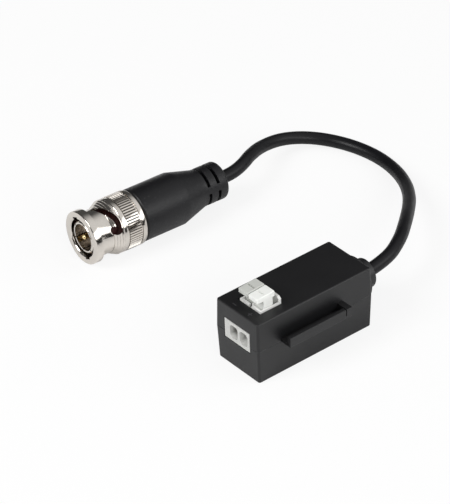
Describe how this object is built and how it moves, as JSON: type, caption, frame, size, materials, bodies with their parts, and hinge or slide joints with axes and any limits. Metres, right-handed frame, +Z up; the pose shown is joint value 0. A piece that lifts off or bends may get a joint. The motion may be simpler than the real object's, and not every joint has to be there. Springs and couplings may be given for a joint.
{
  "type": "cctv video balun",
  "caption": "Small passive video balun: a black moulded housing with a two-pole press terminal and a side rail, a short coaxial lead and a booted bayonet plug.",
  "frame": {"origin": "centre of the housing's flat base", "axes": "+Y along the housing, from the wire terminal towards the lead; +Z up out of the top; +X towards the side rail"},
  "size_m": [0.0782, 0.0863, 0.0213],
  "materials": {
    "housing_plastic": "fine moulded texture",
    "terminal_plastic": "moulded, satin",
    "lever_plastic": "moulded, satin",
    "spring_steel": "bright rolled",
    "tinned_metal": "tinned",
    "board_laminate": "solder resist",
    "ferrite": "dull fired",
    "winding_wire": "lacquered copper",
    "component_black": "moulded",
    "component_tan": "fired ceramic",
    "gland_rubber": "satin",
    "cable_jacket": "satin extruded",
    "nickel_plate": "bright nickel plate",
    "seal_silicone": "satin",
    "insulator_white": "turned",
    "gold_plate": "gold plate",
    "boot_plastic": "fine moulded grain"
  },
  "bodies": {
    "balun": {"upper_shell": "housing_plastic", "lower_shell": "housing_plastic", "terminal_body": "terminal_plastic", "clamp_spring_left": "spring_steel", "clamp_spring_right": "spring_steel", "contact_left": "tinned_metal", "contact_right": "tinned_metal", "circuit_board": "board_laminate", "transformer_core": "ferrite", "transformer_windings": "winding_wire", "surge_suppressor": "component_black", "chip_resistors": "component_black", "chip_capacitors": "component_tan", "cable_gland": "gland_rubber", "cable_end_housing": "cable_jacket", "core_lead": "winding_wire", "shield_lead": "tinned_metal", "cable": "cable_jacket", "plug_body": "nickel_plate", "gasket": "seal_silicone", "plug_insulator": "insulator_white", "centre_pin": "gold_plate", "cable_end_plug": "cable_jacket", "crimp_ferrule": "nickel_plate", "wave_washer": "spring_steel", "thrust_washer": "nickel_plate", "plug_boot": "boot_plastic"},
    "left_lever": {"lever_left": "lever_plastic"},
    "right_lever": {"lever_right": "lever_plastic"},
    "coupling": {"bayonet_ring": "nickel_plate", "retaining_ring": "nickel_plate"}
  },
  "joints": [
    {"name": "left_press", "type": "hinge", "parent": "balun", "child": "left_lever", "pos_m": [-0.0012, -0.0092, 0.015], "axis": [1, 0, 0], "range_deg": [0, 12], "stiffness_Nm_per_rad": 0.12, "deforming": ["clamp_spring_left"]},
    {"name": "right_press", "type": "hinge", "parent": "balun", "child": "right_lever", "pos_m": [0.0024, -0.0092, 0.015], "axis": [1, 0, 0], "range_deg": [0, 12], "stiffness_Nm_per_rad": 0.12, "deforming": ["clamp_spring_right"]},
    {"name": "coupling_turn", "type": "hinge", "parent": "balun", "child": "coupling", "pos_m": [-0.05954, -0.01041, 0.0073], "axis": [0.0541, 0.9985, 0], "continuous": true}
  ]
}
